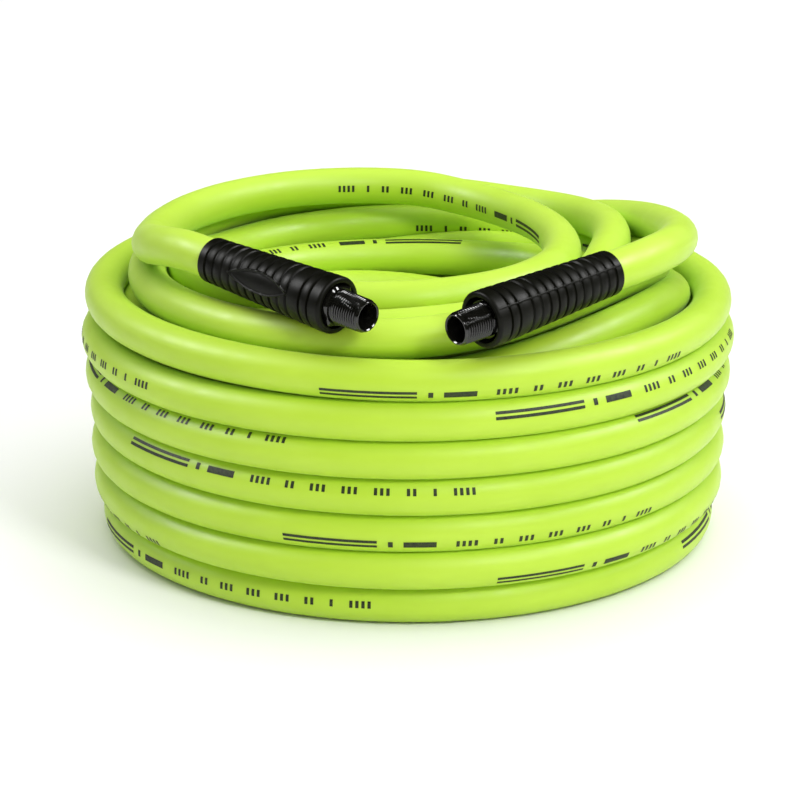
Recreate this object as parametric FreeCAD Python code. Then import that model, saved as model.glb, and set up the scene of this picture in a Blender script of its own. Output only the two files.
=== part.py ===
import FreeCAD, Part
import math
import os

# Coiled air hose, millimetres, +Z up. The coil's axis is vertical and it lies on the floor.
# Everything is drawn about the coil's axis, then moved so that the whole hose's box is
# centred over the origin, with its underside at Z = 0.

Vector = FreeCAD.Vector

# Hose
hose_diameter = 20.0
bore_diameter = 12.7
liner_wall = 1.6
braid_wall = 0.7
hose_r = hose_diameter / 2
bore_r = bore_diameter / 2
liner_r = bore_r + liner_wall
braid_r = liner_r + braid_wall

# Coil: turns lie flat, one column outside another
turn_pitch = 19.1
outer_turns = 7
outer_turn_r = 157.5
crown_turns = [(142.5, 136.4), (126.0, 136.5), (110.0, 126.0), (108.5, 108.0)]  # (radius, height)
funnel_turn = (93.5, 96.0)
inner_turn_r = 77.5
inner_turn_z = 86.0

# End fitting: barbed stem, hexagon and tapered pipe thread drawn as its mean cylinder.
# Stations are along the end's axis from the hexagon's middle, positive towards the open end.
thread_r = 8.55
thread_end = 20.5
thread_start = 5.5
nose_end = 22.0
nose_r = 7.3
neck_r = 7.5
hex_core_r = 6.5
hex_across_flats = 19.05
hex_front = 4.0
hex_back = -4.0
lip_groove_r = 7.2
shoulder_r = 8.6
shoulder_front = -6.5
hose_end = -8.0
stem_end = -36.0
stem_r = 5.7
barb_r = 6.3
barb_count = 5
barb_slope_share = 0.8  # part of a barb's length over which it rises
air_bore_r = 4.6
mouth_bore_r = 6.3
mouth_bore_end = 8.0
mouth_bore_cone = 1.7

# Crimped ferrule
ferrule_r = 11.0
ferrule_gap = 0.02
ferrule_lip_back = -6.2
ferrule_lip_front = -4.3
ferrule_lip_r = 7.3
crimp_flats = 8
crimp_depth = 0.3
crimp_cut = 2.0
crimp_back = -31.0
crimp_front = -12.0

# Bend restrictor sleeve
sleeve_length = 85.0
left_sleeve_front = 2.5
right_sleeve_front = 6.0
sleeve_clearance = 0.08
sleeve_step = -43.0
collar_length = 7.0
collar_r = 14.0
collar_round = 1.6
ring_widths = [4.1, 7.2]
rib_count = 10
groove_width = 1.6
groove_depth = 0.9
rear_collar_length = 4.5
rear_collar_r = 11.4
rear_skirt_r = 11.2

# Straight hose inside and behind each sleeve, which the sleeve slides along
tail_margin = 1.0
tail_end = left_sleeve_front - sleeve_length - tail_margin

# Ends: middle of each hexagon, and the way its thread points
left_middle = (-35.0, -149.9, 159.7)
left_out = (0.729, -0.680, -0.080)
right_middle = (37.9, -158.1, 156.0)
right_out = (-0.747, -0.662, -0.090)

# Loose hose on top of the coil: points (x, y, z) about the coil's axis, from past the
# straight tail to where the hose sinks among the coil's turns
left_route = [
    (-123.5, -61.5, 165), (-130.5, -39, 159.3), (-131.5, -12, 155.8), (-127.5, 19.5, 154.3),
    (-115.8, 51.5, 154), (-94.5, 83, 153.6), (-64, 107, 153), (-29, 119, 152), (5, 119, 150.8),
    (31, 107, 148), (52, 84, 147.4), (68, 51, 149), (78, 16, 150), (80, -18, 150.3),
    (74, -51, 150.2), (52, -84, 149.6), (18, -102, 149), (-20, -106.5, 148.3), (-60, -96, 147.2),
    (-91, -73, 145.5), (-110, -41, 143),
]
right_route = [
    (129.5, -68.5, 165.6), (137, -41, 163), (138, -11, 159), (133, 22, 154.5), (125, 55, 148.5),
    (110, 87, 141.5), (89, 115, 133.5),
]
first_run = 20.0  # from the straight tail's end to the first bend's corner
run_share = 0.45  # part of the shorter run that a bend takes on each side of its corner


def unit(v):
    """The vector at length one."""
    v = Vector(*v)
    v.normalize()
    return v


def along(middle, out, station):
    """The point on an end's axis at a station."""
    return Vector(*middle) + unit(out) * station


def place(shape, middle, out):
    """A shape drawn about +Z from the origin, put on an end's axis."""
    turn = FreeCAD.Rotation(Vector(0, 0, 1), unit(out))
    moved = shape.copy()
    moved.Placement = FreeCAD.Placement(Vector(*middle), turn)
    return moved


def revolved(points):
    """A solid of revolution about Z from its half section, given as (radius, station)."""
    outline = [Vector(r, 0, z) for r, z in points]
    outline.append(outline[0])
    section = Part.Face(Part.makePolygon(outline))
    return section.revolve(Vector(0, 0, 0), Vector(0, 0, 1), 360)


def pipe(outer_r, inner_r, start, end):
    """A straight hollow cylinder between two stations."""
    return revolved([(inner_r, start), (outer_r, start), (outer_r, end), (inner_r, end)])


def crossing(a, b):
    """Where two equal circles of the hose's section meet, on the side away from the coil."""
    middle = ((a[0] + b[0]) / 2, (a[1] + b[1]) / 2)
    dx = b[0] - a[0]
    dz = b[1] - a[1]
    distance = math.hypot(dx, dz)
    rise = math.sqrt(hose_r ** 2 - (distance / 2) ** 2)
    return (middle[0] + rise * dz / distance, middle[1] - rise * dx / distance)


def hose_coil():
    """The wound turns as one closed solid, with the turns' rounds on its outer shape."""
    circles = []
    for k in range(outer_turns):
        circles.append((outer_turn_r, hose_r + turn_pitch * k))
    circles += crown_turns
    circles.append(funnel_turn)
    inner_z = inner_turn_z
    while inner_z > hose_r:
        circles.append((inner_turn_r, inner_z))
        inner_z -= turn_pitch
    circles.append((inner_turn_r, hose_r))

    edges = []
    here = (circles[0][0], 0.0)
    for a, b in zip(circles, circles[1:]):
        there = crossing(a, b)
        edges.append(bulge(a, here, there))
        here = there
    last = circles[-1]
    there = (last[0], 0.0)
    edges.append(bulge(last, here, there))
    edges.append(Part.LineSegment(Vector(there[0], 0, 0), Vector(circles[0][0], 0, 0)).toShape())
    section = Part.Face(Part.Wire(edges))
    return section.revolve(Vector(0, 0, 0), Vector(0, 0, 1), 360)


def bulge(centre, start, end):
    """The arc of one turn's section from start to end, passing the side away from the coil."""
    a = math.atan2(start[1] - centre[1], start[0] - centre[0])
    b = math.atan2(end[1] - centre[1], end[0] - centre[0])
    while b < a:
        b += 2 * math.pi
    m = (a + b) / 2
    middle = Vector(centre[0] + hose_r * math.cos(m), 0, centre[1] + hose_r * math.sin(m))
    return Part.Arc(Vector(start[0], 0, start[1]), middle, Vector(end[0], 0, end[1])).toShape()


def bent_path(points):
    """Straight runs joined by tangent arcs, each as large as its two runs allow."""
    edges = []
    radii = []
    here = points[0]
    for before, corner, after in zip(points, points[1:], points[2:]):
        back = before - corner
        on = after - corner
        reach = run_share * min(back.Length, on.Length)
        half_turn = (math.pi - back.getAngle(on)) / 2
        radii.append(reach / math.tan(half_turn))
        back.normalize()
        on.normalize()
        start = corner + back * reach
        end = corner + on * reach
        inward = back + on
        inward.normalize()
        to_centre = radii[-1] / math.cos(half_turn)
        middle = corner + inward * (to_centre - radii[-1])
        edges.append(Part.LineSegment(here, start).toShape())
        edges.append(Part.Arc(start, middle, end).toShape())
        here = end
    edges.append(Part.LineSegment(here, points[-1]).toShape())
    return Part.Wire(edges), radii


def hose_lead(name, middle, out, route):
    """Loose hose on top of the coil, from the straight tail to where it joins the turns."""
    points = [along(middle, out, tail_end), along(middle, out, tail_end - first_run)]
    points += [Vector(*p) for p in route]
    path, radii = bent_path(points)
    mouth = Part.Wire(Part.makeCircle(hose_r, points[0], unit(out)))
    tube = path.makePipeShell([mouth], True, False)
    section = math.pi * hose_r ** 2
    print(name, "length", round(path.Length, 1), "volume / (section x length)",
          round(tube.Volume / (section * path.Length), 4), "radii", [round(r) for r in radii])
    return tube


def hose_liner(middle, out):
    """Inner tube of the straight tail, which the fitting's stem is pushed into."""
    return place(pipe(liner_r, bore_r, tail_end, hose_end), middle, out)


def hose_braid(middle, out):
    """Textile braid of the straight tail."""
    return place(pipe(braid_r, liner_r, tail_end, hose_end), middle, out)


def hose_cover(middle, out):
    """Outer cover of the straight tail."""
    return place(pipe(hose_r, braid_r, tail_end, hose_end), middle, out)


def fitting(middle, out):
    """Barbed stem, ferrule groove, hexagon, neck and thread in one piece, bored through."""
    outline = [(air_bore_r, stem_end)]
    barb_length = (hose_end - stem_end) / barb_count
    for k in range(barb_count):
        outline.append((stem_r, stem_end + barb_length * k))
        outline.append((barb_r, stem_end + barb_length * (k + barb_slope_share)))
    outline += [
        (stem_r, hose_end), (shoulder_r, hose_end), (shoulder_r, shoulder_front),
        (lip_groove_r, shoulder_front), (lip_groove_r, hex_front), (neck_r, hex_front),
        (neck_r, thread_start), (thread_r, thread_start), (thread_r, thread_end),
        (nose_r, nose_end), (mouth_bore_r, nose_end), (mouth_bore_r, mouth_bore_end),
        (air_bore_r, mouth_bore_end - mouth_bore_cone),
    ]
    turned = revolved(outline)
    corner_r = hex_across_flats / math.sqrt(3)
    corners = [Vector(corner_r * math.cos(math.radians(60 * k)),
                      corner_r * math.sin(math.radians(60 * k)), hex_back) for k in range(7)]
    hexagon = Part.Face(Part.makePolygon(corners)).extrude(Vector(0, 0, hex_front - hex_back))
    core = Part.makeCylinder(hex_core_r, hex_front - hex_back, Vector(0, 0, hex_back))
    hexagon = hexagon.cut(core)
    return place(turned.fuse(hexagon).removeSplitter(), middle, out)


def crimp_ferrule(middle, out):
    """Metal cup over the hose's end, crimped in flats, its lip in the fitting's groove."""
    inner_r = hose_r + ferrule_gap
    cup = revolved([
        (inner_r, stem_end), (ferrule_r, stem_end), (ferrule_r, ferrule_lip_front),
        (ferrule_lip_r, ferrule_lip_front), (ferrule_lip_r, ferrule_lip_back),
        (inner_r, ferrule_lip_back),
    ])
    for k in range(crimp_flats):
        flat = Part.makeBox(crimp_cut, 2 * ferrule_r, crimp_front - crimp_back,
                            Vector(ferrule_r - crimp_depth, -ferrule_r, crimp_back))
        flat.rotate(Vector(0, 0, 0), Vector(0, 0, 1), 360 / crimp_flats * k)
        cup = cup.cut(flat)
    return place(cup, middle, out)


def sleeve_outline():
    """Half section of the bend restrictor from its front face: collar, rings, ribs, rear collar."""
    bore_front = ferrule_r + sleeve_clearance
    bore_back = hose_r + sleeve_clearance
    rear = -sleeve_length
    outline = [(bore_front, 0), (collar_r - collar_round, 0), (collar_r, -collar_round)]
    station = -collar_length
    outline.append((collar_r, station))
    body_end = rear + rear_collar_length
    taper = (collar_r - rear_collar_r) / (-collar_length - body_end)

    def crest(at):
        return collar_r + taper * (at + collar_length)

    room = station - sum(ring_widths) - groove_width * (len(ring_widths) + 1) - body_end
    rib_width = room / rib_count - groove_width
    for width in ring_widths + [rib_width] * rib_count + [0]:
        outline.append((crest(station) - groove_depth, station))
        station -= groove_width
        outline.append((crest(station) - groove_depth, station))
        if width:
            outline.append((crest(station), station))
            station -= width
            outline.append((crest(station), station))
    outline.append((rear_collar_r, body_end))
    outline.append((rear_skirt_r, rear))
    outline += [(bore_back, rear), (bore_back, sleeve_step), (bore_front, sleeve_step)]
    return outline


def bend_sleeve(middle, out, front):
    """Rubber bend restrictor, a running fit on the hose and the ferrule."""
    return place(revolved(sleeve_outline()), along(middle, out, front), out)


def build():
    """Every node by its name, about the coil's axis."""
    ends = {
        "left": (left_middle, left_out, left_route, left_sleeve_front),
        "right": (right_middle, right_out, right_route, right_sleeve_front),
    }
    nodes = {"hose_coil": hose_coil()}
    for side, (middle, out, route, front) in ends.items():
        nodes["hose_lead_" + side] = hose_lead("hose_lead_" + side, middle, out, route)
        nodes["hose_cover_" + side] = hose_cover(middle, out)
        nodes["hose_braid_" + side] = hose_braid(middle, out)
        nodes["hose_liner_" + side] = hose_liner(middle, out)
        nodes["fitting_" + side] = fitting(middle, out)
        nodes["crimp_ferrule_" + side] = crimp_ferrule(middle, out)
        nodes["bend_sleeve_" + side] = bend_sleeve(middle, out, front)
    return nodes


def main():
    os.makedirs("parts", exist_ok=True)
    nodes = build()
    box = FreeCAD.BoundBox()
    for shape in nodes.values():
        box.add(shape.optimalBoundingBox(False, False))
    shift = Vector(-box.Center.x, -box.Center.y, -box.ZMin)
    print("box", box.XLength, box.YLength, box.ZLength, "shift", shift)
    for name, shape in nodes.items():
        shape.translate(shift)
        shape.exportStep("parts/" + name + ".step")
        print(name, "valid", shape.isValid(), "solids", len(shape.Solids), "cm3",
              round(shape.Volume / 1000, 2))


main()
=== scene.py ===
import math

import bpy
import numpy as np
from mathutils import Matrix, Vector


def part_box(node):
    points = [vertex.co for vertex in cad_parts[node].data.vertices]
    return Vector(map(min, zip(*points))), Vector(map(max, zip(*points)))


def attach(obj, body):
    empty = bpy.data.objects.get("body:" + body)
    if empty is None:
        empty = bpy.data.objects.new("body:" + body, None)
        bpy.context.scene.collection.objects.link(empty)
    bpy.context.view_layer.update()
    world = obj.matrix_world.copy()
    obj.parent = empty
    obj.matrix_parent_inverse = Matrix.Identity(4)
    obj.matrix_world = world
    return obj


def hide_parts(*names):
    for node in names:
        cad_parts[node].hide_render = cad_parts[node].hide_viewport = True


# A coiled air hose in metres: one long hose, a threaded fitting and a ribbed sleeve on each end.
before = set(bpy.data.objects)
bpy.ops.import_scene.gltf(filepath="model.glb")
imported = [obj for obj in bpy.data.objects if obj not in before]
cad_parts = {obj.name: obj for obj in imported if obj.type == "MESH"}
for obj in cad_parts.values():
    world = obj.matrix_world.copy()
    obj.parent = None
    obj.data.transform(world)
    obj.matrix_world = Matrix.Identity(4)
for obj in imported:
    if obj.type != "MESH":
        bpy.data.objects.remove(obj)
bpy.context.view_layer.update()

MM = 0.001  # sizes are given in millimetres unless noted, and this turns them into metres

# ---------------------------------------------------------------- dimensions
HOSE_R = 10.0
BRAID_R = 8.65
HOSE_SIDES = 22

# Stations along each end from the hexagon's middle, positive towards the open end
HOSE_END = -8.0
TAIL_END = -83.5
TAIL_POINTS = (HOSE_END, -33.0, -58.0, TAIL_END)
FIRST_RUN = 20.0  # from the straight tail's end to the first bend's control point
LEFT_SLEEVE_FRONT = 2.5
RIGHT_SLEEVE_FRONT = 6.0

coil_low, coil_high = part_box("hose_coil")
COIL_X = (coil_low[0] + coil_high[0]) / 2
COIL_Y = (coil_low[1] + coil_high[1]) / 2


def at(x, y, z):
    """A point given in millimetres about the coil's axis."""
    return Vector((COIL_X + x * MM, COIL_Y + y * MM, z * MM))


def polar(angle, radius, height):
    """A point given by degrees and millimetres about the coil's axis."""
    a = math.radians(angle)
    return at(radius * math.cos(a), radius * math.sin(a), height)


class End:
    """One end of the hose: the middle of its hexagon and the way it points."""

    def __init__(self, side, middle, out):
        self.side = side
        self.middle = at(*middle)
        self.out = Vector(out).normalized()
        level = self.out.cross(Vector((0, 0, 1))).normalized()
        self.across = level
        self.up = level.cross(self.out).normalized()

    def along(self, station):
        """The point on the end's axis at a station."""
        return self.middle + self.out * station * MM


LEFT = End("left", (-35.0, -149.9, 159.7), (0.729, -0.680, -0.080))
RIGHT = End("right", (37.9, -158.1, 156.0), (-0.747, -0.662, -0.090))

# ---------------------------------------------------------------- the hose's route
LEFT_ROUTE = [
    (-123.5, -61.5, 165), (-130.5, -39, 159.3), (-131.5, -12, 155.8), (-127.5, 19.5, 154.3),
    (-115.8, 51.5, 154), (-94.5, 83, 153.6), (-64, 107, 153), (-29, 119, 152), (5, 119, 150.8),
    (31, 107, 148), (52, 84, 147.4), (68, 51, 149), (78, 16, 150), (80, -18, 150.3),
    (74, -51, 150.2), (52, -84, 149.6), (18, -102, 149), (-20, -106.5, 148.3), (-60, -96, 147.2),
    (-91, -73, 145.5), (-110, -41, 143),
]
RIGHT_ROUTE = [
    (129.5, -68.5, 165.6), (137, -41, 163), (138, -11, 159), (133, 22, 154.5), (125, 55, 148.5),
    (110, 87, 141.5), (89, 115, 133.5),
]
# Loose turns that lie among the coil's top turns: (angle, radius, height), winding clockwise
LOOSE_TURNS = [
    (-188, 118, 135.5), (-212, 124, 127), (-238, 132.5, 126), (-265, 139.5, 126.5),
    (-290, 140.5, 126.5), (-312, 139, 126.5), (-330, 136, 129), (-347, 132.5, 134.5),
    (-363, 128, 141), (-380, 123.5, 146), (-398, 122, 147.5), (-415, 126.5, 146),
    (-434, 137, 142.3), (-455, 144, 139.3), (-478, 146, 139), (-502, 143.5, 139.5),
    (-528, 138.5, 137.5), (-553, 138, 138.5), (-578, 142, 141.5), (-603, 146, 143.5),
    (-624, 147, 142.5), (-640, 146.5, 140), (-654, 143.5, 138.5), (-668, 136, 140.5),
    (-682, 125.5, 144), (-697, 116, 147.5), (-714, 108, 149), (-733, 103, 148),
    (-755, 107.5, 143), (-778, 115.5, 141), (-803, 124, 141), (-828, 127, 137),
    (-855, 127, 131.5), (-882, 123.5, 125.5), (-908, 117, 120), (-935, 111, 117.5),
    (-962, 108, 115.5), (-990, 107, 114.5), (-1013, 107, 115), (-1035, 109, 118.5),
    (-1058, 111, 122), (-1080, 112.5, 124.5), (-1103, 114, 126), (-1127, 115.5, 126),
    (-1152, 118.5, 123.5), (-1177, 119.5, 121), (-1203, 117, 119), (-1229, 112, 115.5),
    (-1256, 102.5, 111.5), (-1283, 96.5, 107), (-1310, 94, 104), (-1337, 91, 101.5),
    (-1365, 84.5, 98.5),
]
# The turn that crosses from the third column to the second over the right-hand side
CROSSING_TURN = [
    (113, 126, 106.5), (90, 126.5, 111), (68, 129, 116.5), (45, 132, 117.5), (22, 136.5, 118.5),
    (4, 138, 122.5), (-12, 138, 129.5), (-28, 136, 132), (-44, 136.5, 131),
    (-62, 139.5, 126), (-80, 142.5, 120), (-98, 144, 116.5), (-120, 144, 115),
    (-142, 144, 115), (-164, 144, 115), (-186, 144, 115), (-205, 144, 115),
]
# How the second column is led into from the crossing turn, and the outer one led out of
LEAD_IN = [(113.5, 143.5, 112), (91, 143, 105.5), (68.5, 142.5, 99), (46, 142, 96.5)]
LEAD_OUT = [(91, 160.5, 127), (70, 155.5, 131)]
TURN_PITCH = 19.1
POINTS_PER_TURN = 16
STEP = 360 / POINTS_PER_TURN
# Each turn lies level from its column's first angle clockwise to the back zone
INNER_FIRST_ANGLE = 45.0
OUTER_FIRST_ANGLE = 22.5
INNER_SEED = 5
OUTER_SEED = 11
ROUTE_RESOLUTION = 7  # points of the drawn line for each control point
CLIMB_POINTS = 3  # points of the back zone, where a turn passes to the next one's place
# A quadratic spline runs inside its control polygon by this much on a round turn
SPREAD = 1 / (0.75 + 0.25 * math.cos(math.radians(STEP)))
COLUMN_RADII = [77.5, 93.5, 109.5, 125.5, 141.5]  # of the five inner columns, from the middle
FUNNEL_TURN = (78.0, 95.5)  # radius and height of the turn on top of the innermost column
SECOND_COLUMN_FOOT = 137.0  # radius of the second column's lowest turn, which is squeezed inward
WAVE = (0.3, 0.8)  # least and most that a turn is out of round
OUTER_RADII = [151, 156, 156, 157, 159, 160, 158]  # from the lowest turn up
TOP_TURN_RISE = 3.0  # how much higher the top turn of the outer column lies on the left
TOP_TURN_DIP = 2.2  # how much lower it starts at the right-hand back
STANDING = 10.0  # height of a turn's centre when it lies on the floor
NESTED = 19.55  # height of the lowest turn lying in the next column's grooves


def levels(lowest, count):
    """Heights of a column's turns from the lowest up."""
    return [lowest + TURN_PITCH * k for k in range(count)]


def inner_turns():
    """(radius, height) of the turns from the middle of the coil out to its third column."""
    turns = [FUNNEL_TURN]
    turns += [(COLUMN_RADII[0], z) for z in reversed(levels(NESTED, 4))]
    turns += [(COLUMN_RADII[1], z) for z in levels(STANDING, 5)]
    turns += [(COLUMN_RADII[2], z) for z in reversed(levels(NESTED, 5))]
    turns += [(COLUMN_RADII[3], z) for z in levels(STANDING, 6)]
    return turns


def outer_turns():
    """(radius, height) of the second column's turns down and the outer column's turns up."""
    turns = [(COLUMN_RADII[4], z) for z in reversed(levels(NESTED, 5))]
    turns[-1] = (SECOND_COLUMN_FOOT, turns[-1][1])
    turns += list(zip(OUTER_RADII, levels(STANDING, len(OUTER_RADII))))
    return turns


def wound(turns, first_angle, seed):
    """Control points of level turns, each passing to the next one's place at the back."""
    rng = np.random.default_rng(seed)
    points = []
    level_points = POINTS_PER_TURN - CLIMB_POINTS
    for k, (radius, height) in enumerate(turns):
        phase = rng.uniform(0, 2 * math.pi)
        wave = rng.uniform(*WAVE)
        for i in range(level_points):
            angle = first_angle - STEP * i
            r = radius + wave * math.sin(math.radians(2 * angle) + phase)
            points.append(polar(angle, r * SPREAD, height))
        if k + 1 == len(turns):
            break
        next_radius, next_height = turns[k + 1]
        for i in range(CLIMB_POINTS):
            t = (i + 1) / (CLIMB_POINTS + 1)
            s = t * t * (3 - 2 * t)
            angle = first_angle - STEP * (level_points + i)
            r = radius + (next_radius - radius) * s
            points.append(polar(angle, r * SPREAD, height + (next_height - height) * s))
    return points


def wound_from_back(turns, seed):
    """The same as wound, led in from the crossing turn and led out to the right end."""
    lead_in = [polar(*p) for p in LEAD_IN]
    lead_out = [polar(*p) for p in LEAD_OUT]
    level = wound(turns, OUTER_FIRST_ANGLE, seed)
    top_turn = level[CLIMB_POINTS - POINTS_PER_TURN:]
    top_turn[0].z -= TOP_TURN_DIP * MM
    for point in top_turn:
        point.z += TOP_TURN_RISE * max(0.0, -point.x) / OUTER_RADII[-1]
    return lead_in + level + lead_out


def hose_points():
    """Control points of the whole hose, from the left fitting to the right one."""
    points = [LEFT.along(s) for s in TAIL_POINTS]
    points.append(LEFT.along(TAIL_END - FIRST_RUN))
    points += [at(*p) for p in LEFT_ROUTE]
    points += [polar(*p) for p in LOOSE_TURNS]
    points += wound(inner_turns(), INNER_FIRST_ANGLE, INNER_SEED)
    points += [polar(*p) for p in CROSSING_TURN]
    points += wound_from_back(outer_turns(), OUTER_SEED)
    points += [at(*p) for p in reversed(RIGHT_ROUTE)]
    points.append(RIGHT.along(TAIL_END - FIRST_RUN))
    points += [RIGHT.along(s) for s in reversed(TAIL_POINTS)]
    return points


def centre_line(points):
    """Points of the smooth line through the route, read from its NURBS spline."""
    curve = bpy.data.curves.new("hose_route", "CURVE")
    curve.dimensions = "3D"
    spline = curve.splines.new("NURBS")
    spline.points.add(len(points) - 1)
    for slot, p in zip(spline.points, points):
        slot.co = (*p, 1.0)
    spline.order_u = 3
    spline.use_endpoint_u = True
    spline.resolution_u = ROUTE_RESOLUTION
    holder = bpy.data.objects.new("hose_route", curve)
    bpy.context.scene.collection.objects.link(holder)
    line = bpy.data.meshes.new_from_object(holder)
    path = np.array([v.co[:] for v in line.vertices])
    bpy.data.objects.remove(holder)
    bpy.data.meshes.remove(line)
    return path


# ---------------------------------------------------------------- mesh helpers
def add_piece(name, verts, faces, material, body, crease=None):
    """A smooth mesh object that rides on a body, with edges over the crease angle left sharp."""
    mesh = bpy.data.meshes.new(name)
    mesh.from_pydata([tuple(v) for v in verts], [], faces)
    mesh.update()
    mesh.polygons.foreach_set("use_smooth", [True] * len(mesh.polygons))
    if crease:
        mesh.set_sharp_from_angle(angle=math.radians(crease))
    mesh.materials.append(material)
    piece = bpy.data.objects.new(name, mesh)
    bpy.context.scene.collection.objects.link(piece)
    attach(piece, body)
    return piece


def ring_faces(rows, sides, closed=False):
    """Quads between rings of points, and a cap on each end or a join of the last to the first."""
    faces = []
    for i in range(rows if closed else rows - 1):
        m = (i + 1) % rows
        for j in range(sides):
            k = (j + 1) % sides
            faces.append((i * sides + j, i * sides + k, m * sides + k, m * sides + j))
    if not closed:
        faces.append(tuple(reversed(range(sides))))
        faces.append(tuple((rows - 1) * sides + j for j in range(sides)))
    return faces


class Hose:
    """The hose's centre line, in metres, with two spokes at each point: outward and across."""

    def __init__(self, path):
        self.path = path
        ahead = np.gradient(path, axis=0)
        ahead /= np.linalg.norm(ahead, axis=1)[:, None]
        spoke = path - np.array([COIL_X, COIL_Y, 0.0])
        spoke[:, 2] = 0.0
        spoke -= (spoke * ahead).sum(1)[:, None] * ahead
        spoke /= np.linalg.norm(spoke, axis=1)[:, None]
        self.spoke = spoke
        self.other = np.cross(ahead, spoke)
        steps = np.linalg.norm(np.diff(path, axis=0), axis=1)
        self.length = np.concatenate([[0.0], np.cumsum(steps)])

    def ring(self, row, radius):
        """A ring of points round one point of the line."""
        a = np.arange(HOSE_SIDES)[:, None] * 2 * math.pi / HOSE_SIDES
        spokes = np.cos(a) * self.spoke[row] + np.sin(a) * self.other[row]
        return self.path[row] + radius * MM * spokes

    def read(self, table, length):
        """Rows of a table at lengths along the hose."""
        return np.stack([np.interp(length, self.length, column) for column in table.T], axis=-1)

    def surface(self, length, girth, radius):
        """Points on the tube by their length along it and their angle round it."""
        outward = np.cos(girth)[:, None] * self.read(self.spoke, length)
        across = np.sin(girth)[:, None] * self.read(self.other, length)
        return self.read(self.path, length) + radius * MM * (outward + across)


def hose_mesh(line, material):
    """The hose as one tube, with a bore for the braid and the liner in both straight tails."""
    tail = (HOSE_END - TAIL_END) * MM
    first = int(np.searchsorted(line.length, tail))
    last = int(np.searchsorted(line.length, line.length[-1] - tail))
    end = len(line.path) - 1
    rings = [line.ring(first, BRAID_R), line.ring(0, BRAID_R)]
    rings += [line.ring(row, HOSE_R) for row in range(len(line.path))]
    rings += [line.ring(end, BRAID_R), line.ring(last, BRAID_R)]
    verts = np.concatenate(rings)
    return add_piece("hose", verts, ring_faces(len(rings), HOSE_SIDES), material, "hose",
                     crease=60)


# ---------------------------------------------------------------- printed layline
PRINT_REPEAT = 360.0
PRINT_START = 160.0
PRINT_CLEAR = 100.0  # left plain at the far end
PRINT_LIFT = 0.07
PRINT_GRID = 3.0  # longest face of a mark
PRINT_COLUMNS = 4  # points across a mark
# Where the print lies round the hose, in radians from outward, with lengths in metres
PRINT_ANGLE = 0.15
PRINT_SWAY = 0.75
PRINT_SWAY_RATE = 1.23
PRINT_SWAY_PHASE = 0.4
LOOSE_PRINT_ANGLE = 2.4  # added along the loose turns, which are seen from their inner side
LOOSE_PRINT_END = 3.4
LOOSE_PRINT_FADE = 2.5  # how sharply that ends
# Two long stripes, a dot and a bar, then groups of upright ticks
STRIPE = (44.0, 1.512)  # length and height
STRIPE_OFFSET = 1.344
BARS = [(49.0, 2.2), (56.0, 15.0)]  # start and length
BAR_HEIGHT = 3.36
TICK_GROUPS = [4, 2, 3, 3, 3, 2, 1, 4]
FIRST_TICK = 80.0
TICK_WIDTH = 1.5
TICK_HEIGHT = 3.57
TICK_SPACE = 2.8
GROUP_SPACE = 6.4


def layline_marks():
    """(start, width, middle, height) of one repeat of the printed line."""
    length, height = STRIPE
    marks = [(0.0, length, side * STRIPE_OFFSET, height) for side in (-1, 1)]
    marks += [(start, width, 0.0, BAR_HEIGHT) for start, width in BARS]
    start = FIRST_TICK
    for count in TICK_GROUPS:
        for _ in range(count):
            marks.append((start, TICK_WIDTH, 0.0, TICK_HEIGHT))
            start += TICK_SPACE
        start += GROUP_SPACE
    return marks


def layline_angle(length):
    """Where the print lies round the hose at a length along it."""
    loose = 1 / (1 + np.exp((length - LOOSE_PRINT_END) * LOOSE_PRINT_FADE))
    sway = PRINT_SWAY * np.sin(length * PRINT_SWAY_RATE + PRINT_SWAY_PHASE)
    return PRINT_ANGLE + sway + loose * LOOSE_PRINT_ANGLE


def printed_layline(line, material):
    """Thin plain marks on the hose, repeated along it."""
    verts = []
    faces = []
    start = PRINT_START
    while start + PRINT_REPEAT < line.length[-1] / MM - PRINT_CLEAR:
        for offset, width, middle, height in layline_marks():
            first = start + PRINT_REPEAT - offset - width
            along = np.linspace(first, first + width, 2 + int(width / PRINT_GRID)) * MM
            half = height / 2 / HOSE_R
            across = np.linspace(-half, half, PRINT_COLUMNS)
            lengths = np.repeat(along, len(across))
            angles = np.tile(across, len(along)) + middle / HOSE_R + layline_angle(lengths)
            base = len(verts)
            verts.extend(line.surface(lengths, angles, HOSE_R + PRINT_LIFT))
            for i in range(len(along) - 1):
                for j in range(PRINT_COLUMNS - 1):
                    a = base + i * PRINT_COLUMNS + j
                    b = a + PRINT_COLUMNS
                    faces.append((a, b, b + 1, a + 1))
        start += PRINT_REPEAT
    return add_piece("hose_print", verts, faces, material, "hose")


# ---------------------------------------------------------------- sleeves and fittings
# A sleeve's stations run from its front face, negative towards the hose
SLEEVE_LENGTH = 85.0
SLEEVE_SIDES = 240
SLEEVE_STEP = -43.0
SLEEVE_BORE_FRONT = 11.08
SLEEVE_BORE_BACK = 10.12
SLEEVE_CREASE = 40  # degrees
RING_PITCH = 0.3  # between the mesh's rings
COLLAR_LENGTH = 7.0
COLLAR_R = 14.0
COLLAR_ROUND = 1.7
RING_WIDTHS = [4.1, 7.2]
RIB_COUNT = 10
GROOVE_WIDTH = 1.6
GROOVE_DEPTH = 1.15
LAST_GROOVE_DEPTH = 0.85
REAR_LENGTH = 4.5
REAR_R = 11.4
REAR_ROUND = 0.8
EDGE = 0.32  # rounding of a rib's edges
RIB_ROUND = 0.22  # fall of a rib's top towards its edges
PAD_DEPTH = 0.55
PAD_RIM = 0.8  # rise of its rim from there
PAD_SLOPE = 0.9
PAD_REACH = 0.4  # how far the pad reaches outside its outline
RIM_REACH = 0.5  # how far its rim reaches outside the outline
RIM_INSIDE = 1.5  # and how far inside
WEB_HALF = 0.95
WEB_SHARE = 0.75  # part of a groove's depth that the web fills
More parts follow.
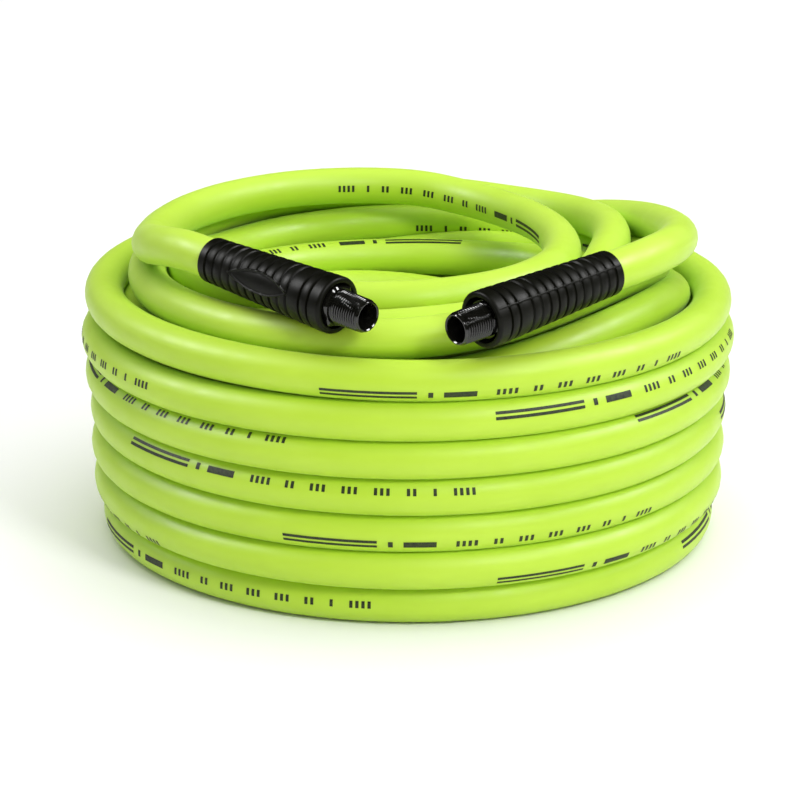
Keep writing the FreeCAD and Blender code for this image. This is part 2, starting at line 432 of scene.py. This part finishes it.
SEAM_HALF = 0.45
SEAM_RISE = 0.16
SEAM_SLOPE = 0.3
SEAM_START = -1.6


def sleeve_grooves():
    """Stations of the front and the back of each groove."""
    body_end = REAR_LENGTH - SLEEVE_LENGTH
    rings = sum(RING_WIDTHS) + GROOVE_WIDTH * (len(RING_WIDTHS) + 1)
    room = -COLLAR_LENGTH - rings - body_end
    rib_width = room / RIB_COUNT - GROOVE_WIDTH
    grooves = []
    station = -COLLAR_LENGTH
    for width in RING_WIDTHS + [rib_width] * RIB_COUNT + [0]:
        grooves.append((station, station - GROOVE_WIDTH))
        station -= GROOVE_WIDTH + width
    return grooves


def sleeve_crest(s):
    """Radius over the ribs at a station."""
    taper = (COLLAR_R - REAR_R) / (SLEEVE_LENGTH - REAR_LENGTH - COLLAR_LENGTH)
    return COLLAR_R - taper * np.clip(-s - COLLAR_LENGTH, 0, None)


def soft_step(x):
    """Rises smoothly from 0 to 1 as x does."""
    x = np.clip(x, 0, 1)
    return x * x * (3 - 2 * x)


def groove_depth(s):
    """How far the surface lies under the crest: the grooves, and the ribs' slightly round tops."""
    depth = np.zeros_like(s)
    grooves = sleeve_grooves()
    depths = np.linspace(GROOVE_DEPTH, LAST_GROOVE_DEPTH, len(grooves))
    for (front, back), deep in zip(grooves, depths):
        inside = soft_step((front - s) / EDGE + 0.3) * soft_step((s - back) / EDGE + 0.3)
        depth = np.maximum(depth, deep * inside)
    for (_, front), (back, _) in zip(grooves, grooves[1:]):
        x = np.clip((s - (front + back) / 2) / ((front - back) / 2), -1, 1)
        depth = np.maximum(depth, RIB_ROUND * x * x * (np.abs(x) < 1))
    return depth


def arc_from(angle, middle, radius):
    """Distance round the sleeve from a line at an angle in degrees."""
    return np.abs((angle - middle + 180) % 360 - 180) * math.pi / 180 * radius


def outer_radius(s, angle, pad, seam):
    """Radius of the sleeve's outside by station and angle in degrees."""
    crest = sleeve_crest(s)
    depth = groove_depth(s)
    if pad is not None:
        # A plain lens-shaped pad with a raised rim interrupts the ribs
        middle, reach, pad_angle, half = pad
        edge = half * (1 - ((s - middle) / reach) ** 2) - arc_from(angle, pad_angle, crest)
        inside = soft_step((edge + PAD_REACH) / PAD_SLOPE)
        rim = (soft_step((edge + RIM_REACH) / PAD_SLOPE)
               * soft_step((RIM_INSIDE - edge) / PAD_SLOPE))
        depth = depth * (1 - inside) + inside * (PAD_DEPTH - PAD_RIM * rim)
    if seam is not None:
        # The mould's parting line, with a small square web across each groove
        across = arc_from(angle, seam, crest)
        web = soft_step((WEB_HALF - across) / SEAM_SLOPE)
        line_here = soft_step((SEAM_HALF - across) / SEAM_SLOPE) * (s < SEAM_START)
        depth = depth * (1 - WEB_SHARE * web) - SEAM_RISE * line_here
    front = np.clip(s + COLLAR_ROUND, 0, COLLAR_ROUND)
    depth = depth + COLLAR_ROUND - np.sqrt(COLLAR_ROUND ** 2 - front ** 2)
    rear = np.clip(-s - (SLEEVE_LENGTH - REAR_ROUND), 0, REAR_ROUND)
    depth = depth + REAR_ROUND - np.sqrt(REAR_ROUND ** 2 - rear ** 2)
    return crest - depth


def turned(end, name, rows, sides, body, material, crease):
    """A closed surface from rings: rows of (station, radius or radii) in millimetres."""
    angles = np.arange(sides) * 2 * math.pi / sides
    spokes = (np.cos(angles)[:, None] * np.array(end.across)
              + np.sin(angles)[:, None] * np.array(end.up))
    middle = np.array(end.middle)
    out = np.array(end.out)
    verts = []
    for station, radius in rows:
        radii = np.broadcast_to(np.asarray(radius, float), (sides,))
        verts.append(middle + (out * station + spokes * radii[:, None]) * MM)
    faces = ring_faces(len(rows), sides, closed=True)
    return add_piece(name, np.concatenate(verts), faces, material, body, crease)


def bend_sleeve(end, front, material, pad=None, seam=None):
    """Rubber bend restrictor with its front face at a station of the end."""
    angles = np.arange(SLEEVE_SIDES) * 360 / SLEEVE_SIDES
    rear = -SLEEVE_LENGTH
    stations = np.concatenate([
        COLLAR_ROUND * (np.cos(np.linspace(0, math.pi / 2, 7)) - 1),
        np.arange(-COLLAR_ROUND - RING_PITCH, rear + REAR_ROUND + 0.1, -RING_PITCH),
        rear + REAR_ROUND * (1 - np.sin(np.linspace(0, math.pi / 2, 5))),
    ])
    rows = [(s, outer_radius(np.full(SLEEVE_SIDES, s), angles, pad, seam)) for s in stations]
    rows += [
        (rear, SLEEVE_BORE_BACK + 0.5), (rear + 0.6, SLEEVE_BORE_BACK),
        (SLEEVE_STEP, SLEEVE_BORE_BACK), (SLEEVE_STEP, SLEEVE_BORE_FRONT),
        (-0.8, SLEEVE_BORE_FRONT), (-0.25, SLEEVE_BORE_FRONT + 0.2),
        (0, SLEEVE_BORE_FRONT + 0.75),
    ]
    rows = [(s + front, radii) for s, radii in rows]
    return turned(end, "sleeve_" + end.side, rows, SLEEVE_SIDES, end.side + "_sleeve",
                  material, SLEEVE_CREASE)


FITTING_SIDES = 120
FITTING_CREASE = 28  # degrees
NOSE_END = 22.0
NOSE_R = 7.45
THREAD_END = 20.5
THREAD_START = 5.5
THREAD_R = 8.55
THREAD_PITCH = 1.411
THREAD_DEPTH = 0.85
THREAD_TAPER = 1 / 32  # on the radius
THREAD_FLANK = 2.4  # steepness of the flanks
THREAD_CREST = 0.1  # makes the crests flat
THREAD_FADE_IN = 0.7  # length over which it deepens from the neck
THREAD_FADE_OUT = 0.9  # length over which it fades at the nose
THREAD_RUN_OUT = 0.3  # how far past its end the last of it lies
THREAD_CHAMFER = 0.4
THREAD_CHAMFER_SLOPE = 0.55
THREAD_RING_PITCH = 0.1
NECK_R = 7.5
HEX_ACROSS_FLATS = 19.05
HEX_FRONT = 4.0
HEX_BACK = -4.0
HEX_CHAMFER = 0.9
HEX_FACE_CUT = 0.25  # how far a face's circle lies inside the flats
HEX_CORNER_CUT = 0.15  # how far the turned corners lie inside sharp ones
LIP_GROOVE_R = 7.2
SHOULDER_FRONT = -6.5
SHOULDER_R = 8.6
STEM_END = -36.0
STEM_R = 5.7
BARB_R = 6.3
BARB_COUNT = 5
BARB_LENGTH = (HOSE_END - STEM_END) / BARB_COUNT
BARB_FALL = 1.1  # length of a barb's steep front
AIR_BORE_R = 4.6
MOUTH_BORE_R = 6.3
MOUTH_BORE_END = 8.0
MOUTH_BORE_CONE = 1.7


def hex_radii(angles, limit):
    """Radius of a hexagon with its corners cut back to a circle."""
    turned_by = (angles + 30) % 60 - 30
    flat = HEX_ACROSS_FLATS / 2 / np.cos(np.radians(turned_by))
    return np.minimum(flat, limit)


def thread_radii(s, angles):
    """A helical, tapered pipe thread that runs out at both ends."""
    over_crests = THREAD_R - (s - THREAD_START) * THREAD_TAPER
    turn = (s / THREAD_PITCH - angles / 360) % 1.0
    tooth = np.clip(np.abs(turn - 0.5) * THREAD_FLANK - THREAD_CREST, 0, 1)
    fade = (soft_step((s - THREAD_START) / THREAD_FADE_IN)
            * soft_step((THREAD_END + THREAD_RUN_OUT - s) / THREAD_FADE_OUT))
    chamfer = np.clip(s - (THREAD_END - THREAD_CHAMFER), 0, None) * THREAD_CHAMFER_SLOPE
    return over_crests - THREAD_DEPTH * tooth * fade - chamfer


def fitting(end, material, phase):
    """Male threaded end: nose, thread, neck, hexagon, shoulder and barbed stem, bored through."""
    angles = np.arange(FITTING_SIDES) * 360 / FITTING_SIDES
    rows = [(NOSE_END, NOSE_R - 0.7), (NOSE_END, NOSE_R - 0.3), (NOSE_END - 0.35, NOSE_R)]
    for s in np.arange(NOSE_END - 0.7, THREAD_START, -THREAD_RING_PITCH):
        rows.append((s, thread_radii(s, angles)))
    rows += [(5.3, 8.2), (5.0, NECK_R + 0.1), (4.4, NECK_R), (HEX_FRONT, NECK_R + 0.3)]
    flats = hex_radii(angles + phase, HEX_ACROSS_FLATS / 2 - HEX_FACE_CUT)
    corners = hex_radii(angles + phase, HEX_ACROSS_FLATS / math.sqrt(3) - HEX_CORNER_CUT)
    rows += [
        (HEX_FRONT, flats), (HEX_FRONT - HEX_CHAMFER, corners),
        (HEX_BACK + HEX_CHAMFER, corners), (HEX_BACK, flats),
        (HEX_BACK, LIP_GROOVE_R), (SHOULDER_FRONT, LIP_GROOVE_R), (SHOULDER_FRONT, SHOULDER_R),
        (HOSE_END, SHOULDER_R), (HOSE_END, STEM_R),
    ]
    for k in range(BARB_COUNT):
        front = HOSE_END - BARB_LENGTH * k
        rows += [(front - BARB_FALL, BARB_R), (front - BARB_LENGTH, STEM_R)]
    rows += [
        (STEM_END, AIR_BORE_R), (MOUTH_BORE_END - MOUTH_BORE_CONE, AIR_BORE_R),
        (MOUTH_BORE_END, MOUTH_BORE_R), (NOSE_END - 0.45, MOUTH_BORE_R),
    ]
    return turned(end, "end_fitting_" + end.side, rows, FITTING_SIDES, "hose", material,
                  FITTING_CREASE)


# ---------------------------------------------------------------- materials
def new_material(name):
    """A material with its nodes, links and main shader."""
    m = bpy.data.materials.new(name)
    m.use_nodes = True
    return m, m.node_tree.nodes, m.node_tree.links, m.node_tree.nodes["Principled BSDF"]


def noise(n, l, scale, detail):
    """Noise over the object's own coordinates."""
    place = n.new("ShaderNodeTexCoord")
    node = n.new("ShaderNodeTexNoise")
    node.inputs["Scale"].default_value = scale
    node.inputs["Detail"].default_value = detail
    l.new(place.outputs["Object"], node.inputs["Vector"])
    return node.outputs["Fac"]


def spread(n, l, value, low, high):
    """Maps the middle of a noise to a range."""
    node = n.new("ShaderNodeMapRange")
    node.inputs["From Min"].default_value = 0.3
    node.inputs["From Max"].default_value = 0.7
    node.inputs["To Min"].default_value = low
    node.inputs["To Max"].default_value = high
    l.new(value, node.inputs["Value"])
    return node.outputs["Result"]


def paint(n, l, bsdf, factor, dark, light):
    """Colours a surface between two colours by a factor."""
    node = n.new("ShaderNodeMix")
    node.data_type = "RGBA"
    node.inputs["A"].default_value = (*dark, 1)
    node.inputs["B"].default_value = (*light, 1)
    l.new(factor, node.inputs["Factor"])
    l.new(node.outputs["Result"], bsdf.inputs["Base Color"])


def relief(n, l, bsdf, height, strength, distance):
    """Gives a surface a fine texture."""
    node = n.new("ShaderNodeBump")
    node.inputs["Strength"].default_value = strength
    node.inputs["Distance"].default_value = distance
    l.new(height, node.inputs["Height"])
    l.new(node.outputs["Normal"], bsdf.inputs["Normal"])


def mottled_material(name, scale, detail, dark, light, specular):
    """A material with its colour led by a noise; the noise is returned, so that a caller can lead
    the roughness with it.
    """
    m, n, l, bsdf = new_material(name)
    mottle = noise(n, l, scale, detail)
    paint(n, l, bsdf, spread(n, l, mottle, 0, 1), dark, light)
    bsdf.inputs["Specular IOR Level"].default_value = specular
    return m, n, l, bsdf, mottle


def hose_material():
    """Satin yellow-green polymer with a faint mottle, scuffs and an extruded grain."""
    m, n, l, bsdf, _ = mottled_material("hose_polymer", 18, 3, (0.455, 0.69, 0.028),
                                        (0.495, 0.73, 0.042), 0.5)
    scuff = noise(n, l, 90, 5)
    l.new(spread(n, l, scuff, 0.42, 0.56), bsdf.inputs["Roughness"])
    relief(n, l, bsdf, noise(n, l, 2600, 2), 0.10, 0.00012)
    bsdf.inputs["Sheen Weight"].default_value = 0.08
    return m


def print_material():
    """Dark matt ink, slightly worn."""
    m, _, _, bsdf, _ = mottled_material("print_ink", 700, 3, (0.006, 0.010, 0.003),
                                        (0.03, 0.05, 0.008), 0.5)
    bsdf.inputs["Roughness"].default_value = 0.6
    return m


def sleeve_material():
    """Black moulded rubber with a slight bloom and a fine texture."""
    m, n, l, bsdf, bloom = mottled_material("sleeve_rubber", 120, 4, (0.0030, 0.0032, 0.0014),
                                            (0.0055, 0.0057, 0.0032), 0.14)
    l.new(spread(n, l, bloom, 0.36, 0.48), bsdf.inputs["Roughness"])
    relief(n, l, bsdf, noise(n, l, 2200, 3), 0.16, 0.00012)
    return m


def fitting_material():
    """Glossy black plating with fine turning marks."""
    m, n, l, bsdf, smear = mottled_material("fitting_black_plate", 260, 3, (0.004, 0.004, 0.003),
                                            (0.008, 0.008, 0.006), 0.6)
    l.new(spread(n, l, smear, 0.09, 0.17), bsdf.inputs["Roughness"])
    return m


def ferrule_material():
    """The same plating as on the fitting, duller from the crimping."""
    m, n, l, bsdf, smear = mottled_material("ferrule_black_plate", 300, 3, (0.004, 0.004, 0.003),
                                            (0.010, 0.010, 0.008), 0.4)
    l.new(spread(n, l, smear, 0.28, 0.42), bsdf.inputs["Roughness"])
    return m


def braid_material():
    """White textile yarn with its weave."""
    m, n, l, bsdf = new_material("braid_yarn")
    place = n.new("ShaderNodeTexCoord")
    weave = n.new("ShaderNodeTexWave")
    weave.inputs["Scale"].default_value = 500
    weave.inputs["Distortion"].default_value = 1.5
    l.new(place.outputs["Object"], weave.inputs["Vector"])
    paint(n, l, bsdf, weave.outputs["Fac"], (0.55, 0.55, 0.50), (0.80, 0.80, 0.76))
    relief(n, l, bsdf, weave.outputs["Fac"], 0.4, 0.0002)
    bsdf.inputs["Roughness"].default_value = 0.85
    return m


def liner_material():
    """Dark rubber of the inner tube."""
    m, _, _, bsdf, _ = mottled_material("liner_rubber", 150, 3, (0.015, 0.015, 0.015),
                                        (0.03, 0.03, 0.03), 0.5)
    bsdf.inputs["Roughness"].default_value = 0.55
    return m


# ---------------------------------------------------------------- build
def recolour(node, look):
    """A CAD piece with a better material."""
    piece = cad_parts[node]
    piece.data.materials.clear()
    piece.data.materials.append(look)
    return piece


# Each sleeve's own mark: its pad (middle, half length, angle, half width) or its seam's angle
LEFT_PAD = (-42.5, 21.5, 11.0, 6.0)
RIGHT_SEAM = 146.0
# How far each hexagon is turned, in degrees
LEFT_HEX_PHASE = 21.0
RIGHT_HEX_PHASE = 6.0

hose_green = hose_material()
sleeve_black = sleeve_material()
fitting_black = fitting_material()

line = Hose(centre_line(hose_points()))
hose = hose_mesh(line, hose_green)
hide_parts("hose_coil", "hose_lead_left", "hose_lead_right", "hose_cover_left",
            "hose_cover_right")
marks = printed_layline(line, print_material())

left_sleeve = bend_sleeve(LEFT, LEFT_SLEEVE_FRONT, sleeve_black, pad=LEFT_PAD)
right_sleeve = bend_sleeve(RIGHT, RIGHT_SLEEVE_FRONT, sleeve_black, seam=RIGHT_SEAM)
left_fitting = fitting(LEFT, fitting_black, LEFT_HEX_PHASE)
right_fitting = fitting(RIGHT, fitting_black, RIGHT_HEX_PHASE)
on_hose = [marks]
for side, sleeve, plug in (
    ("left", left_sleeve, left_fitting),
    ("right", right_sleeve, right_fitting),
):
    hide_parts("bend_sleeve_" + side)
    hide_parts("fitting_" + side)
    on_hose += [sleeve, plug]
    on_hose.append(recolour("crimp_ferrule_" + side, ferrule_material()))
    on_hose.append(recolour("hose_braid_" + side, braid_material()))
    on_hose.append(recolour("hose_liner_" + side, liner_material()))


# ---------------------------------------------------------------- floor, light, camera
FLOOR_SIZE = 30  # metres
AMBIENT = 0.45


def studio_floor():
    """A plain pale floor, far wider than the hose."""
    bpy.ops.mesh.primitive_plane_add(size=FLOOR_SIZE, location=(0, 0, 0))
    floor = bpy.context.object
    floor.name = "floor"
    m, _, _, bsdf = new_material("floor_white")
    bsdf.inputs["Base Color"].default_value = (0.9, 0.9, 0.9, 1)
    bsdf.inputs["Roughness"].default_value = 0.7
    floor.data.materials.append(m)


def area_light(name, place, target, size, power):
    """A rectangular lamp, placed and aimed in metres."""
    data = bpy.data.lights.new(name, "AREA")
    data.shape = "RECTANGLE"
    data.size, data.size_y = size
    data.energy = power
    lamp = bpy.data.objects.new(name, data)
    bpy.context.scene.collection.objects.link(lamp)
    lamp.location = place
    lamp.rotation_euler = (Vector(target) - Vector(place)).to_track_quat("-Z", "Y").to_euler()
    return lamp


studio_floor()
bpy.context.scene.view_settings.view_transform = "Standard"
world = bpy.data.worlds.new("studio")
bpy.context.scene.world = world
world.use_nodes = True
background = world.node_tree.nodes["Background"]
background.inputs["Color"].default_value = (1, 1, 1, 1)
background.inputs["Strength"].default_value = AMBIENT
# Of the lights, the black pieces mirror only the key light and the two side boxes
world.cycles_visibility.glossy = False
top = area_light("top_softbox", (0.2, 0.7, 2.2), (0, 0.5, 0), (4.0, 4.0), 78)
top.visible_glossy = False
area_light("key_softbox", (0.95, -1.35, 1.35), (0, 0, 0.1), (0.5, 0.5), 19)
for side in (-1, 1):
    gloss = area_light("gloss_box", (side * 1.5, 0.05, 1.4), (0, -0.15, 0.15), (0.6, 0.6), 30)
    gloss.visible_diffuse = False

CAMERA_PLACE = (-4.18, -1505.85, 548.69)
CAMERA_TILT = 17.83  # degrees below level
SENSOR_WIDTH = 36.0
LENS = 134.86
camera_data = bpy.data.cameras.new("camera")
camera_data.sensor_width = SENSOR_WIDTH
camera_data.lens = LENS
camera = bpy.data.objects.new("camera", camera_data)
bpy.context.scene.collection.objects.link(camera)
camera.location = at(*CAMERA_PLACE)
camera.rotation_euler = (math.radians(90 - CAMERA_TILT), 0, 0)
bpy.context.scene.camera = camera
